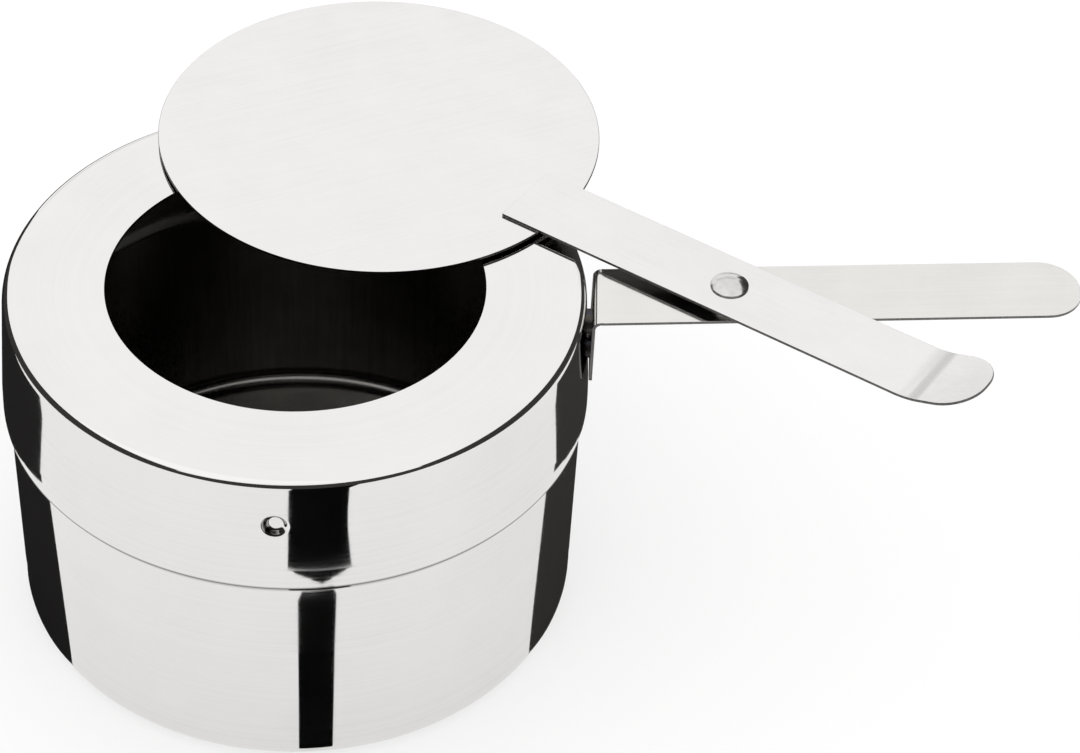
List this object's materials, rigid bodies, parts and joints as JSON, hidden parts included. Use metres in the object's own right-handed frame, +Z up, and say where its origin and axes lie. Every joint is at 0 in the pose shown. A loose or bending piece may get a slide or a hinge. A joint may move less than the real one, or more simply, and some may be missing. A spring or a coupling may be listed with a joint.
{
  "type": "chafing fuel holder",
  "caption": "Polished steel fuel pot for a chafing dish: deep cup, lift-off cover with a round mouth, strip handle and a swinging snuffer disc on a riveted lever.",
  "frame": {"origin": "centre of the cup's flat base, on the surface that the pot stands on", "axes": "+Z up along the pot's axis, +X along the handle, away from the pot"},
  "size_m": [0.17, 0.1199, 0.0656],
  "materials": {
    "pot_steel": "mirror polished stainless sheet",
    "strip_steel": "bright rolled stainless strip",
    "weld_steel": "spot weld, dull",
    "rivet_steel": "bright steel rivet"
  },
  "bodies": {
    "cup": {"fuel_cup": "pot_steel"},
    "cover": {"cover_collar": "pot_steel", "handle": "strip_steel", "handle_weld_nuggets": "weld_steel", "pivot_rivet": "rivet_steel", "spacer_washer": "rivet_steel"},
    "snuffer": {"snuffer_lever": "strip_steel", "snuffer_disc": "strip_steel"}
  },
  "joints": [
    {"name": "cover_lift", "type": "slide", "parent": "cup", "child": "cover", "axis": [0, 0, 1], "range_m": [0, 0.045]},
    {"name": "snuffer_swing", "type": "hinge", "parent": "cover", "child": "snuffer", "pos_m": [0.0675, -0.0043, 0.0618], "axis": [0, 0, 1], "range_deg": [-145, 214]}
  ]
}
